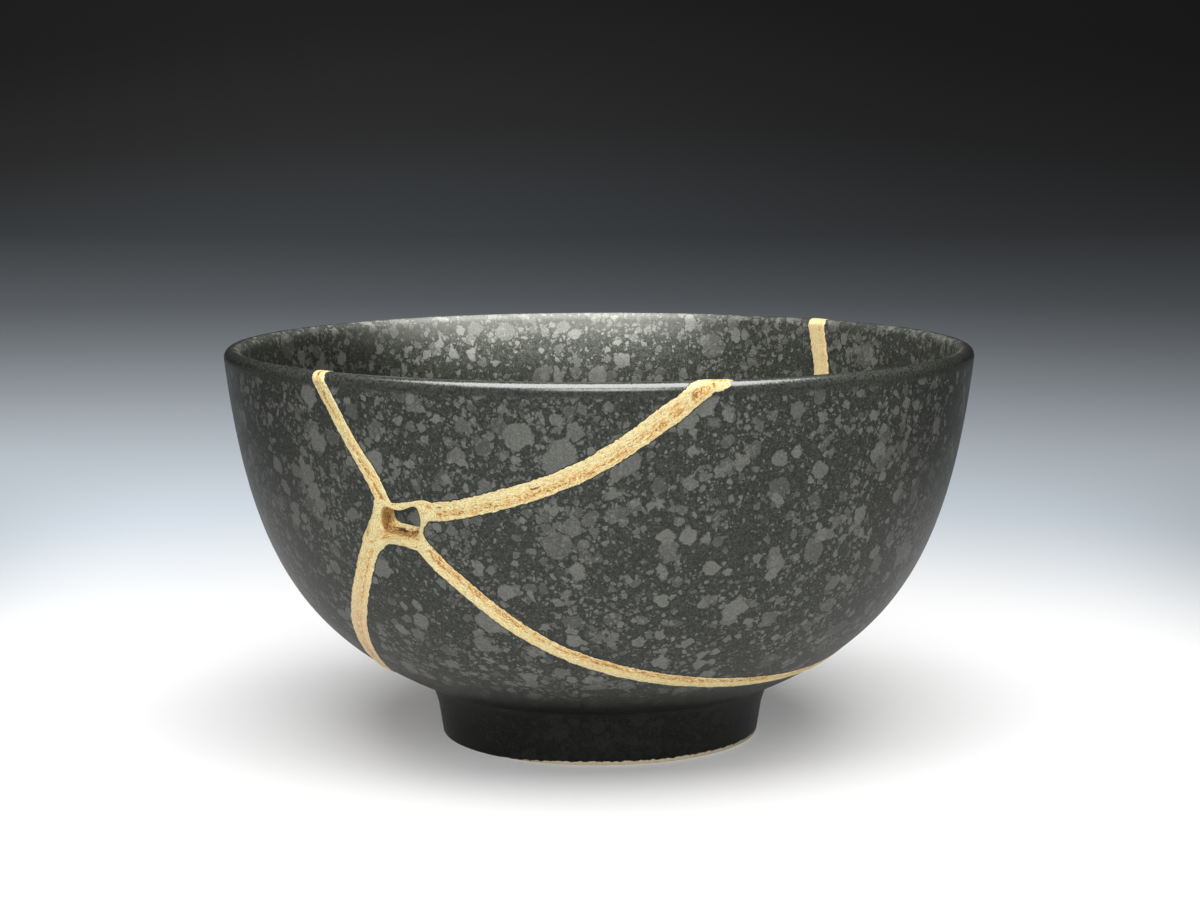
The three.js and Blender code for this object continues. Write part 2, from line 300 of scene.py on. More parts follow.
def flake_plug(name, share):
    """Plug through the wall, its outline a share of the way from the flake to the collar's edge."""
    bearing = np.linspace(0, 360, plug_sides, endpoint=False)
    reach = radius_about_flake(flake_outline, bearing) * (1 - share)
    reach += radius_about_flake(collar_outline, bearing) * share
    azimuth = flake_centre[0] + reach * np.cos(np.radians(bearing))
    height = flake_centre[1] + reach * np.sin(np.radians(bearing))
    place, ray = ray_from_centre(azimuth, height)
    return mesh_object(name, *swept(np.stack([place + ray * break_outside, place + ray * break_inside])))


def outward_faces(thing):
    """Turns a closed mesh the right way out, where its signed volume is negative."""
    mesh = thing.data
    mesh.calc_loop_triangles()
    corners = np.zeros(len(mesh.loop_triangles) * 3, np.int32)
    mesh.loop_triangles.foreach_get("vertices", corners)
    places = np.zeros(len(mesh.vertices) * 3)
    mesh.vertices.foreach_get("co", places)
    a, b, c = places.reshape(-1, 3)[corners.reshape(-1, 3)].transpose(1, 0, 2)
    if np.einsum("ij,ij->i", a, np.cross(b, c)).sum() < 0:
        mesh.flip_normals()
    return thing


def combined(base, tools, operation):
    """The base mesh with each tool taken away from it or joined to it; the tools are used up."""
    for tool in [base] + tools:
        outward_faces(tool)
    for tool in tools:
        step = base.modifiers.new(tool.name, "BOOLEAN")
        step.solver = "MANIFOLD"
        step.operation = operation
        step.object = tool
    bpy.context.view_layer.update()
    result = bpy.data.meshes.new_from_object(base.evaluated_get(bpy.context.evaluated_depsgraph_get()))
    base.modifiers.clear()
    base.data = result
    for tool in tools:
        bpy.data.objects.remove(tool)
    return base


breaks = {"left_front": left_front_break, "right_front": right_front_break,
          "back": back_break, "ring": ring_break}
cutters = [break_blade(name + "_cut", route) for name, route in breaks.items()]
combined(pot, cutters + [flake_plug("flake_cut", flake_cut_share)], "DIFFERENCE")
bpy.ops.object.select_all(action="DESELECT")
pot.select_set(True)
bpy.context.view_layer.objects.active = pot
bpy.ops.mesh.separate(type="LOOSE")


def node(tree, kind, inputs=None, **settings):
    """Shader node with its settings and inputs; an input is a value, or another node's socket."""
    made = tree.nodes.new("ShaderNode" + kind)
    for key, value in settings.items():
        setattr(made, key, value)
    for key, value in (inputs or {}).items():
        if isinstance(value, bpy.types.NodeSocket):
            tree.links.new(value, made.inputs[key])
        else:
            made.inputs[key].default_value = value
    return made


def maths(tree, operation, *values):
    """Result of one operation on numbers or sockets."""
    return node(tree, "Math", dict(enumerate(values)), operation=operation).outputs[0]


def product(tree, *values):
    """Numbers or sockets multiplied together, one after another."""
    result = values[0]
    for value in values[1:]:
        result = maths(tree, "MULTIPLY", result, value)
    return result


def one_less(tree, value, share=1.0):
    """One, less a share of a value."""
    return maths(tree, "SUBTRACT", 1.0, product(tree, value, share))


def ramp(tree, value, low, high, start=0.0, end=1.0):
    """Smooth step of a socket from one value to another."""
    made = node(tree, "MapRange", {"Value": value, "From Min": low, "From Max": high,
                                   "To Min": start, "To Max": end}, interpolation_type="SMOOTHSTEP")
    return made.outputs["Result"]


def peak(tree, value, middle, half_width):
    """One where the value is at the middle, falling evenly to nothing a half width away."""
    away = maths(tree, "DIVIDE", maths(tree, "SUBTRACT", value, middle), half_width)
    return maths(tree, "MAXIMUM", maths(tree, "SUBTRACT", 1.0, maths(tree, "ABSOLUTE", away)), 0.0)


def noise(tree, place, scale, detail, roughness=0.5):
    """Noise about one half; the scale is in cells per mm where the place is in mm."""
    made = node(tree, "TexNoise", {"Vector": place, "Scale": scale, "Detail": detail, "Roughness": roughness})
    return made.outputs["Fac"]


def vector_maths(tree, operation, first, second):
    """Result of one operation on two vectors."""
    return node(tree, "VectorMath", {0: first, 1: second}, operation=operation).outputs[0]


def scaled(tree, vector, factor):
    """Vector or colour multiplied by a number or a socket."""
    return node(tree, "VectorMath", {0: vector, "Scale": factor}, operation="SCALE").outputs[0]


def blended(tree, share, first, second):
    """Colour between two colours or sockets; a share of 1 gives the second."""
    return node(tree, "Mix", {0: share, 6: first, 7: second}, data_type="RGBA").outputs[2]


def new_material(name):
    """Empty material with a shader linked to its output; gives material, tree and shader."""
    material = bpy.data.materials.new(name)
    material.use_nodes = True
    tree = material.node_tree
    tree.nodes.clear()
    shader = node(tree, "BsdfPrincipled")
    node(tree, "OutputMaterial", {"Surface": shader.outputs[0]})
    return material, tree, shader


def object_place(tree):
    """Object coordinates in mm."""
    return scaled(tree, node(tree, "TexCoord").outputs["Object"], 1 / MM)


glaze_ground = (0.058, 0.061, 0.052, 1)
glaze_dark = (0.024, 0.026, 0.022, 1)
glaze_blotch = (0.156, 0.158, 0.142, 1)
glaze_pale_blotch = (0.27, 0.27, 0.25, 1)
painted_rim_highlight_colour = (0.46, 0.46, 0.42, 1)
bare_clay = (0.66, 0.58, 0.42, 1)
clay_shadow = (0.50, 0.42, 0.28, 1)
glaze_gloss = 0.12
lip_roughness, lip_gloss = 0.15, 1.9
glaze_relief, lip_relief = 0.00012, 0.00010

# Blotch sizes in mm: cell size, least share of cells left empty, softness of the edge.
blotches = [(5.2, 0.47, 0.024), (3.2, 0.36, 0.034), (1.9, 0.34, 0.050), (1.05, 0.39, 0.08),
            (0.62, 0.48, 0.12)]
blotch_reach, widest_blotch, blotch_wander = 0.95, 0.42, 1.7

glaze, tree, shader = new_material("charcoal_glaze")
in_mm = object_place(tree)
turned = node(tree, "SeparateXYZ", {0: node(tree, "UVMap", uv_map="turned").outputs[0]}).outputs[0]
x, _, z = node(tree, "SeparateXYZ", {0: in_mm}).outputs
wobble = node(tree, "TexNoise", {"Vector": in_mm, "Scale": 0.8, "Detail": 3, "Roughness": 0.5})
shifted = vector_maths(tree, "SUBTRACT", wobble.outputs["Color"], (0.5, 0.5, 0.5))
shifted = vector_maths(tree, "ADD", in_mm, scaled(tree, shifted, blotch_wander))
crowding = ramp(tree, noise(tree, in_mm, 0.11, 2), 0.35, 0.65, -0.16, 0.16)

# Each size lies in cells of its own: a round blotch in some of them, paler in some than others,
# with a thin pale line along its edge and a dark outline outside that.
blotch = tone = pale_edge = dark_outline = 0.0
for size, empty, soft in blotches:
    cells = node(tree, "TexVoronoi", {"Vector": shifted, "Scale": 1 / size, "Randomness": 1.0})
    chance = node(tree, "SeparateColor", {0: cells.outputs["Color"]}).outputs
    reach = maths(tree, "SUBTRACT", maths(tree, "ADD", chance[0], crowding), empty)
    reach = maths(tree, "MINIMUM", product(tree, reach, blotch_reach), widest_blotch)
    inside = maths(tree, "SUBTRACT", reach, cells.outputs["Distance"])
    here = ramp(tree, inside, -soft, soft)
    blotch = maths(tree, "MAXIMUM", blotch, here)
    tone = maths(tree, "MAXIMUM", tone, product(tree, here, ramp(tree, chance[1], 0.0, 1.0, 0.35, 1.0)))
    pale_edge = maths(tree, "MAXIMUM", pale_edge, peak(tree, inside, 0.0, soft * 1.8))
    dark_outline = maths(tree, "MAXIMUM", dark_outline, peak(tree, inside, -soft * 2.4, soft * 1.6))

specks = noise(tree, in_mm, 3.4, 3, 0.75)
fine = noise(tree, in_mm, 1.5, 5, 0.7)
tiny = noise(tree, in_mm, 3.0, 2, 0.6)
pale_speck = ramp(tree, specks, 0.60, 0.74)
dark_speck = ramp(tree, specks, 0.42, 0.30)

# Places where the glaze differs: plain just below the lip and on the foot, which is dark too;
# painted light makes the inner top of the back wall paler, and painted shade darkens the inside
# at the left and both outer sides.
lip_start, lip_end = float(lip_along[0]), float(lip_along[-1])
outer = ramp(tree, turned, lip_end, lip_start)
below_lip = product(tree, ramp(tree, turned, lip_start - 1.0, lip_start - 0.2),
                    ramp(tree, turned, lip_start + 3.0, lip_start + 1.6))
on_foot = product(tree, ramp(tree, z, 17.0, 9.6), outer)
speckled = one_less(tree, maths(tree, "MAXIMUM", below_lip, product(tree, on_foot, 0.72)))
off_middle = maths(tree, "ABSOLUTE", maths(tree, "ADD", x, 10.0))
painted_light_inside_top = product(tree, ramp(tree, turned, lip_start + 1.8, lip_start + 3.0),
                     ramp(tree, turned, lip_end + 11, lip_end + 1),
                     ramp(tree, off_middle, 38.0, 14.0, 0.05, 1.0))
painted_shade_inside_left = product(tree, ramp(tree, turned, lip_end - 0.5, lip_end + 1), ramp(tree, x, -20, -42))
level = vector_maths(tree, "MULTIPLY", in_mm, (1, 1, 0))
from_axis = node(tree, "VectorMath", {0: level}, operation="LENGTH").outputs["Value"]
painted_shade_outer_sides = ramp(tree, maths(tree, "ABSOLUTE", maths(tree, "DIVIDE", x, from_axis)), 0.62, 0.96)
painted_shade_outer_sides = product(tree, painted_shade_outer_sides, outer)

colour = blended(tree, ramp(tree, maths(tree, "ADD", fine, product(tree, tiny, 0.8)), 0.72, 1.08),
                 glaze_dark, glaze_ground)
colour = blended(tree, product(tree, pale_speck, speckled, 0.5), colour, glaze_blotch)
colour = blended(tree, product(tree, tone, speckled, 0.92), colour, glaze_blotch)
colour = blended(tree, product(tree, pale_edge, ramp(tree, specks, 0.45, 0.6), speckled, 0.35),
                 colour, glaze_pale_blotch)
colour = blended(tree, product(tree, dark_speck, 0.6), colour, glaze_dark)
off_blotch = maths(tree, "SUBTRACT", 0.6, product(tree, blotch, 0.35))
colour = blended(tree, product(tree, dark_outline, off_blotch, speckled), colour, glaze_dark)
# Painted light and shade scale the colour: paler at the inner top of the back wall, darker inside at the left
# and down the outer sides; the foot is darker too.
colour = scaled(tree, colour, product(
    tree, maths(tree, "ADD", product(tree, painted_light_inside_top, 2.9), 1.0), one_less(tree, on_foot, 0.78),
    one_less(tree, painted_shade_inside_left, 0.55), one_less(tree, painted_shade_outer_sides, 0.36)))
# Painted highlight: a pale band along the inner top edge of the back rim.
painted_rim_highlight = product(tree, painted_light_inside_top, ramp(tree, turned, lip_end + 4.5, lip_end - 0.5, 0.0, 0.45))
colour = blended(tree, painted_rim_highlight, colour, painted_rim_highlight_colour)

# The foot stands on bare clay; on one side the glaze was wiped back higher, with a ragged edge.
ragged = noise(tree, in_mm, 0.9, 4, 0.7)
wiped = maths(tree, "ADD", ramp(tree, x, -18.0, -1.0, 0.08, 0.64), ramp(tree, ragged, 0.3, 0.7, -0.14, 0.14))
clay = ramp(tree, maths(tree, "SUBTRACT", wiped, z), -0.03, 0.03)
clay_colour = blended(tree, ramp(tree, noise(tree, in_mm, 4.0, 4, 0.7), 0.3, 0.7), clay_shadow, bare_clay)
tree.links.new(blended(tree, clay, colour, clay_colour), shader.inputs["Base Color"])

rough = maths(tree, "ADD", ramp(tree, fine, 0.3, 0.7, 0.38, 0.48), product(tree, blotch, 0.04))
rough = maths(tree, "ADD", rough, product(tree, clay, 0.4))
tree.links.new(rough, shader.inputs["Roughness"])
shader.inputs["Specular IOR Level"].default_value = glaze_gloss
on_lip = product(tree, ramp(tree, turned, lip_start + 0.3, lip_start + 0.7),
                 ramp(tree, turned, lip_start + 3.0, lip_start + 2.4))
tree.links.new(on_lip, shader.inputs["Coat Weight"])
shader.inputs["Coat Roughness"].default_value = lip_roughness
shader.inputs["Coat IOR"].default_value = lip_gloss
relief = maths(tree, "ADD", product(tree, fine, 0.6), product(tree, tone, 0.25))
bump = node(tree, "Bump", {"Height": relief, "Strength": 0.35, "Distance": glaze_relief})
tree.links.new(bump.outputs[0], shader.inputs["Normal"])
lip_bump = node(tree, "Bump", {"Height": maths(tree, "ADD", fine, ragged), "Strength": 0.35,
                               "Distance": lip_relief})
tree.links.new(lip_bump.outputs[0], shader.inputs["Coat Normal"])

shard_nodes = ["front_rim_shard", "left_wall_shard", "right_wall_shard", "foot_shard"]
for shard in list(bpy.context.selected_objects):
    corners = np.array([list(corner) for corner in shard.bound_box])
    extent = np.stack([corners.min(0), corners.max(0)])
    misfit = [np.abs(extent - np.array([list(c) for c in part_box(n)])).sum() for n in shard_nodes]
    stands_for = shard_nodes[int(np.argmin(misfit))]
    shard.name = shard.data.name = "glazed_" + stands_for
    shard.data.set_sharp_from_angle(angle=radians(38))
    shard.data.materials.clear()
    shard.data.materials.append(glaze)
    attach(shard, "root")
    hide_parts(stands_for)


# ------------------------------------------------------------------------------------------
# The repair. Lacquer filled the breaks and stood a little proud of the glaze, and gold powder was
# laid over it while it was tacky. The network is one piece: ribbons along the four breaks, over
# the lip and inside as well, and a collar that lines the hole where the flake is lost.

gold_height = 0.24
black_edge = 0.20
black_edge_height = 0.05
edge_foot = -0.12
buried = -0.55
crown_room = 0.06
lump_height, streak_height, pit_depth, worn_depth = 0.030, 0.022, 0.05, 0.05
inside_width = 0.85
outer_ray = np.degrees(np.arctan2(belly_line[:, 1] - break_centre, belly_line[:, 0]))
inside_ray = np.degrees(np.arctan2(inside_line[:, 1] - break_centre, inside_line[:, 0]))
outline_ray = np.degrees(np.arctan2(outline[:, 1] - break_centre, outline[:, 0]))


def route_ray(height):
    """Angle of the ray from the breaks' centre to the outside at a height, in degrees."""
    place = beside_belly(belly_share_at(height), np.zeros(np.shape(height)))
    return np.degrees(np.arctan2(place[:, 1] - break_centre, place[:, 0]))


def outside_at(ray):
    """Distance along the outline where a ray crosses the outside of the belly."""
    return np.interp(ray, outer_ray, belly_along)


def inside_at(ray):
    """Distance along the outline where a ray crosses the inside."""
    return np.interp(ray, inside_ray[::-1], inside_along[::-1])


def grain(x, y, seed):
    """Value noise from -1 to 1: seeded heights on a lattice, blended by a smooth step each way."""
    heights = np.random.default_rng(seed).uniform(-1, 1, (97, 89))
    x, y = np.broadcast_arrays(np.asarray(x, dtype=float), np.asarray(y, dtype=float))
    i, j = np.floor(x).astype(int), np.floor(y).astype(int)
    u, v = x - i, y - j
    u, v = u * u * (3 - 2 * u), v * v * (3 - 2 * v)
    near = heights[i % 97, j % 89] * (1 - u) + heights[(i + 1) % 97, j % 89] * u
    far = heights[i % 97, (j + 1) % 89] * (1 - u) + heights[(i + 1) % 97, (j + 1) % 89] * u
    return near * (1 - v) + far * v


def step_between(value, low, high):
    """Smooth step of an array from 0 at low to 1 at high."""
    share = np.clip((value - low) / (high - low), 0, 1)
    return share * share * (3 - 2 * share)


def spaced(azimuth, along, width, fine_part, fine_step, coarse_step):
    """The line again with its points a fine or a coarse step apart; gives distance as well."""
    radius = np.interp(along, outline_along, outline[:, 0])
    leg = np.hypot(np.radians(np.diff(azimuth)) * (radius[1:] + radius[:-1]) / 2, np.diff(along))
    distance = np.concatenate([[0], np.cumsum(leg)])
    gap = np.where(fine_part, fine_step, coarse_step)
    count = np.concatenate([[0], np.cumsum(leg / ((gap[1:] + gap[:-1]) / 2))])
    at = np.interp(np.linspace(0, count[-1], int(count[-1]) + 1), count, distance)
    return [np.interp(at, distance, column) for column in (azimuth, along, width, distance)]


# How each repair was laid: seed, then its worn band as middle and half width across (-1 to 1),
# its strength, and its crease as place across and depth in mm.
how_laid = {
    "left_front": dict(seed=11, band=(0.0, 0.7, 0.60), crease=(0.1, 0.03)),
    "right_front": dict(seed=23, band=(-0.38, 0.33, 1.0), crease=(0.02, 0.05)),
    "back": dict(seed=37, band=(0.6, 0.35, 0.6), crease=(0.3, 0.02)),
    "ring": dict(seed=41, band=(0.1, 0.5, 0.35), crease=(0.3, 0.05)),
}

# Nicks and pits: azimuth, height, half length and half width, depth in mm, wear and darkness.
marks = {
    "left_front": [(-33.4, 46.2, 1.5, 0.28, 0.10, 0.9, 0.15), (-32.9, 45.2, 0.35, 0.22, 0.15, 0.9, 1.0),
                   (-43.0, 62.9, 0.28, 0.22, 0.16, 0.6, 1.0), (-44.4, 62.6, 0.15, 0.12, 0.08, 0.5, 1.0),
                   (-41.6, 61.9, 0.15, 0.14, 0.08, 0.5, 1.0)],
    "right_front": [(-23.4, 44.9, 0.55, 0.13, 0.08, 0.6, 1.0), (-17.6, 45.6, 0.22, 0.16, 0.08, 0.5, 1.0),
                    (-8.8, 48.3, 0.95, 0.09, 0.10, 0.6, 1.1), (-9.6, 48.2, 0.3, 0.16, 0.06, 0.9, 0.2),
                    (12.9, 61.7, 0.6, 0.42, 0.12, 1.2, 0.35), (13.9, 62.3, 0.4, 0.25, 0.10, 1.2, 0.5),
                    (15.6, 62.9, 0.3, 0.35, 0.14, 1.0, 0.8), (10.2, 60.1, 0.9, 0.22, 0.04, 0.8, 0.1)],
    "back": [(136.8, 63.3, 0.9, 0.3, 0.14, 0.9, 0.2)],
    "ring": [(-36.4, 38.0, 0.9, 0.3, 0.08, 0.9, 0.2), (-385.2, 36.6, 1.6, 0.35, 0.08, 1.0, 0.25),
             (-49.5, 23.2, 0.8, 0.2, 0.06, 0.7, 0.3)],
}

# How far each repair is smeared along the lip: to the right in degrees, and wider in mm.
smears = {"left_front": (0.3, 0.5), "right_front": (1.4, 1.0), "back": (0.0, 0.2)}
outer_rows = slice(belly_start, int(np.argmax(outline[:, 1])) + 1)


def gold_ribbon(name, azimuth, along, width, distance, columns, seed, band, crease, spots=()):
    """Ribbon of gold on the wall: a crown across it, with ragged edges, streaks along it, a worn
    band and a crease, between two thin black edges of bare lacquer; its underside is buried."""
    radius = np.interp(along, outline_along, outline[:, 0])
    run_x = np.gradient(np.radians(azimuth), distance) * radius
    run_y = np.gradient(along, distance)
    length = np.hypot(run_x, run_y)
    across_x, across_y = -run_y / length, run_x / length
    ragged = [1 + 0.06 * grain(distance / 1.3, side, seed)
              + 0.075 * grain(distance / 0.45, side, seed + 1)
              + 0.065 * grain(distance / 0.25, side, seed + 2) for side in (3.5, 8.5)]
    inner = np.sin(np.linspace(-1, 1, columns) * pi / 2 * 0.92) / np.sin(pi / 2 * 0.92)
    half = width / 2

    v = inner[None, :]
    half_here = np.where(v < 0, (half * ragged[0])[:, None], (half * ragged[1])[:, None])
    x = v * half_here
    s = distance[:, None] + 0 * v
    crown = np.sqrt(1 - np.abs(v) ** 3.4)
    streak = grain(s / 2.6, x / 0.16, seed + 3) * 0.5 + grain(s / 0.9, x / 0.11, seed + 4) * 0.3
    lumps = grain(s / 1.9, x / 0.8, seed + 5)
    pits = grain(s / 0.30, x / 0.22, seed + 6) + 0.4 * grain(s / 2.2, x / 0.5, seed + 7)
    pits = step_between(pits, 0.62, 0.95)
    band_middle = band[0] + 0.12 * grain(s / 3.5, 0.5, seed + 8)
    in_band = np.exp(-((v - band_middle) / band[1]) ** 2) * (0.75 + 0.25 * grain(s / 4.5, 4.5, seed + 9))
    mottle = grain(s / 0.45, x / 0.2, seed + 10) * 0.5 + grain(s / 1.1, x / 0.3, seed + 11) * 0.5
    crease_depth = crease[1] * (0.6 + 0.6 * grain(s / 5.0, 9.5, seed + 12))
    in_crease = np.exp(-((v - crease[0] - 0.1 * grain(s / 6.0, 2.5, seed + 13)) / 0.07) ** 2)
    low = black_edge_height
    lift = low + (gold_height - crown_room - low) * crown + lump_height * lumps + streak_height * streak
    lift = lift - pit_depth * pits - crease_depth * in_crease
    lift = lift - worn_depth * in_band * (0.5 + 0.5 * mottle)
    spot_wear, spot_dark = 0 * x, 0 * x
    for spot_azimuth, spot_height, long, wide, deep, wear, darkness in spots:
        away_x = np.radians(spot_azimuth - azimuth) * radius
        away_y = np.interp(spot_height, outline[outer_rows, 1], outline_along[outer_rows]) - along
        near = np.argmin(np.hypot(away_x, away_y))
        aside = away_x[near] * across_x[near] + away_y[near] * across_y[near]
        spot = np.exp(-((s - distance[near]) / long) ** 2 - ((x - aside) / wide) ** 2)
        spot = spot * (0.8 + 0.4 * mottle)
        lift = lift - deep * spot
        spot_wear, spot_dark = spot_wear + wear * spot, spot_dark + darkness * spot
    on_lip = step_between(along, lip_along[0] - 0.5, lip_along[0] + 0.8)[:, None]
    lift = np.clip(lift * (1 - 0.35 * on_lip), -0.02, gold_height - 0.005)
    worn = band[2] * in_band * (0.5 + 0.9 * mottle) + 0.35 * np.abs(streak) * (streak < 0)
    worn = worn + 0.55 * in_crease * np.clip(crease_depth / 0.06, 0, 1)
    worn = spot_wear + np.clip(worn, 0, 1)
    dark = spot_dark + 0.75 * pits * (0.4 + 0.8 * in_band) + 0.25 * in_crease * (mottle > 0.2)
    worn, dark = np.clip(worn, 0, 1), np.clip(dark, 0, 0.85)

    edges = []
    for sign in (-1, 1):
        reach = (half * ragged[0 if sign < 0 else 1])[:, None]
        frayed = black_edge * (1 + 0.3 * grain(distance / 0.6, 12.5 * sign, seed + 14))[:, None]
        rim = np.concatenate([reach + 0.02, reach + frayed * 0.8, reach + frayed], 1) * sign
        rise = np.array([[low, low * 0.6, edge_foot]]) + 0 * rim
        edges.append((rim, rise, np.zeros_like(rim) + 0.3, np.ones_like(rim)))
    under_x = np.stack([half * 0.8, half * 0, -half * 0.8], 1)
    under = (under_x, np.full_like(under_x, buried), np.zeros_like(under_x), np.ones_like(under_x))
    left = [part[:, ::-1] for part in edges[0]]
    loop = [np.concatenate(parts, 1) for parts in zip(left, (x, lift, worn, dark), edges[1], under)]
    offset, rise, worn, dark = loop
    place = on_wall(azimuth[:, None] + np.degrees(offset * across_x[:, None] / radius[:, None]),
                    along[:, None] + offset * across_y[:, None], rise)
    vertices, faces = swept(place)
    pattern = np.stack([distance[:, None] + 0 * offset + 100 * seed, offset], -1)
    return mesh_object(name, vertices, faces, laid=pattern, wear=np.stack([worn, dark], -1))


front_step, far_step, back_step, inside_step = 0.19, 0.2, 0.45, 0.42
ribbon_columns, inside_columns = 24, 14
ray_samples = 1500
arms = []
for name, route in breaks.items():
    if name == "ring":
        continue
    line = smooth_line(route, route_step)
    ray = route_ray(line[:, 1])
    along = np.linspace(outside_at(ray[0]), inside_at(ray[0]), ray_samples)
    here = np.interp(along, outline_along, outline_ray)
    azimuth, width = (np.interp(here, ray, line[:, k]) for k in (0, 2))
    inner_side = step_between(along, lip_along[0], lip_along[-1] + 6)
    width = width * (1 + (inside_width - 1) * inner_side * (name != "back"))
    over_lip = step_between(along, lip_along[0] + 1.3, lip_along[0] + 2.5)
    over_lip = over_lip * step_between(-along, -lip_along[-1] - 1.0, -lip_along[-1] + 0.8)
    azimuth = azimuth + smears[name][0] * over_lip
    width = width + smears[name][1] * over_lip
    seen = (along > lip_along[0]) if name == "back" else (along < lip_along[-1] + 1.5)
    seen_step = far_step if name == "back" else front_step
    azimuth, along, width, distance = spaced(azimuth, along, width, seen, seen_step, inside_step)
    arms.append(gold_ribbon(name, azimuth, along, width, distance, ribbon_columns,
                            spots=marks[name], **how_laid[name]))

line = smooth_line(ring_break, route_step)
azimuth, ray, width = line[:, 0], route_ray(line[:, 1]), line[:, 2]
seen = (azimuth > -98) | (azimuth < -262)
azimuth, along, width, distance = spaced(azimuth, outside_at(ray), width, seen, front_step, back_step)
on_left = step_between(azimuth, -180, -100)[:, None]
low_left = on_left * step_between(-azimuth, 43, 52)[:, None]
ring_band = (0.6 * on_left - 0.6, 0.42, 0.95 - 0.55 * on_left + 0.6 * low_left)
ring_crease = (0.65 * on_left - 0.35, 0.05 + 0.04 * on_left)
ring_laid = dict(how_laid["ring"], band=ring_band, crease=ring_crease)
arms.append(gold_ribbon("ring", azimuth, along, width, distance, ribbon_columns,
                        spots=marks["ring"], **ring_laid))
azimuth, ray, width = line[:, 0], route_ray(line[:, 1]), line[:, 2] * inside_width
nowhere = np.zeros(len(azimuth), bool)
azimuth, along, width, distance = spaced(azimuth, inside_at(ray), width, nowhere, front_step, inside_step)
arms.append(gold_ribbon("ring_inside", azimuth, along, width, distance, inside_columns,
                        **dict(how_laid["ring"], seed=57)))


face_rows, wall_rows = 24, 20
hole_room = 0.15  # share of the way from the flake's edge to the collar's


def gold_collar(name, around, seed):
    """Ring of gold through the wall round the hole. Its section, taken in each direction from the
    flake's centre, runs over the outside to the hole, along the ray to the inside, over the inside,
    and back through the break, where it is buried."""
    bearing = np.linspace(0, 360, around, endpoint=False)[:, None]
    hole = radius_about_flake(flake_outline, bearing)
    edge = radius_about_flake(collar_outline, bearing)
    edge = edge * (1 + 0.02 * grain(bearing / 4.5, 0.5, seed))
    flange = black_edge / (edge - hole)
    over_face = np.linspace(1, 0, face_rows)[None, :]
    through = np.linspace(0, 1, wall_rows + 2)[None, 1:-1]
    lead = 1 + flange * np.array([[1.0, 0.8, 0.1]])
    low = np.array([[edge_foot, 0.03, black_edge_height]])
    back_through = np.array([[0.92, 0.65, 0.35, 0.08]])
    out_rows, back_rows = lead.shape[1] + face_rows, back_through.shape[1]
    x, y = np.cos(np.radians(bearing)), np.sin(np.radians(bearing))
    out_lift = black_edge_height + (gold_height - 0.08) * np.sqrt(1 - np.abs(2 * over_face - 1.0) ** 5)
    fold = grain((bearing + 30 * over_face) / 7.0, over_face * 3, seed + 1)
    near_hole = step_between(over_face, 0.7, 0.15) * step_between(y, 0.5, -0.1)
    out_lift = out_lift + 0.05 * fold * (over_face > 0.05) * (over_face < 0.9)
    out_lift = out_lift + 0.09 * fold_like(over_face, bearing, seed) * near_hole - 0.05 * near_hole
    out_lift = np.minimum(out_lift, gold_height)
    spread = np.ones((around, 1))
    share = np.concatenate([lead, over_face * spread, 0.02 * np.sin(through * pi) * spread,
                            over_face[:, ::-1] * spread, lead[:, ::-1],
                            np.full((around, back_rows), 0.62)], 1)
    lift = np.concatenate([low * spread, out_lift, 0 * through * spread, out_lift[:, ::-1],
                           low[:, ::-1] * spread, np.zeros((around, back_rows))], 1)
    depth = np.concatenate([np.zeros((around, out_rows)), through * spread,
                            np.ones((around, out_rows)), back_through * spread], 1)
    reach = hole + (edge - hole) * share
    crease = grain(bearing / 14.0, through * 7, seed + 2) * np.sin(through * pi)
    reach[:, out_rows:out_rows + wall_rows] -= 0.16 * crease * (y < 0.2)
    azimuth = flake_centre[0] + reach * x
    height = flake_centre[1] + reach * y
    ray = route_ray(height.reshape(-1)).reshape(height.shape)
    outside, inside = on_wall(azimuth, outside_at(ray), lift), on_wall(azimuth, inside_at(ray), lift)
    place = outside * (1 - depth[..., None]) + inside * depth[..., None]
    at_left = step_between(-x, 0.2, 0.8) * (np.abs(y) < 0.8)
    at_bottom = step_between(-y, 0.3, 0.7)
    wall = np.concatenate([np.zeros((around, out_rows)), np.sin(through * pi * 0.9 + 0.3) * spread,
                           np.zeros((around, out_rows + back_rows))], 1).clip(0, 1)
    streaks = grain((bearing + 3 * depth) / 9.0, depth * 9 + share * 4, seed + 3)
    worn = wall * (0.45 + 0.35 * streaks + 0.1 * at_left)
    worn = worn * (1 - 0.8 * at_bottom * step_between(depth, 0.62, 0.8))
    worn = worn + 0.55 * step_between(fold_like(share, bearing, seed), 0.1, 0.7)
    worn = worn + (at_bottom * 0.25 + at_left * 0.1) * step_between(share, 0.55, 0.05) * (depth < 0.5)
    # Painted shade: a dark crevice across the bottom of the hole's wall, and the wall darker deeper into the
    # hole, except at its left side.
    painted_crevice_shade = np.exp(-((depth - 0.5 - 0.12 * streaks) / 0.09) ** 2) * (0.8 * at_bottom + 0.1 * at_left)
    dark = np.clip(wall * (painted_crevice_shade + 0.35 * (1 - at_left) * step_between(depth, 0.5, 0.9)), 0, 1)
    dark = np.maximum(dark, (share > 1.001) * 1.0)
    vertices, faces = swept(place, closed=True)
    pattern = np.stack([bearing * 0.06 + 0 * share + 900, share * 3 + depth * 3], -1)
    return mesh_object(name, vertices, faces, laid=pattern, wear=np.stack([worn.clip(0, 1), dark], -1))


def fold_like(share, bearing, seed):
    """Wrinkles that run round the hole, finer towards its edge."""
    coarse = grain(bearing / 9.0, share * 6, seed + 5)
    return coarse * 0.6 + grain(bearing / 3.0, share * 11, seed + 6) * 0.4


seams = gold_collar("gold_seams", around=200, seed=71)
arms = [combined(arm, [flake_plug("hole_cut", hole_room)], "DIFFERENCE") for arm in arms]
combined(seams, arms, "UNION")

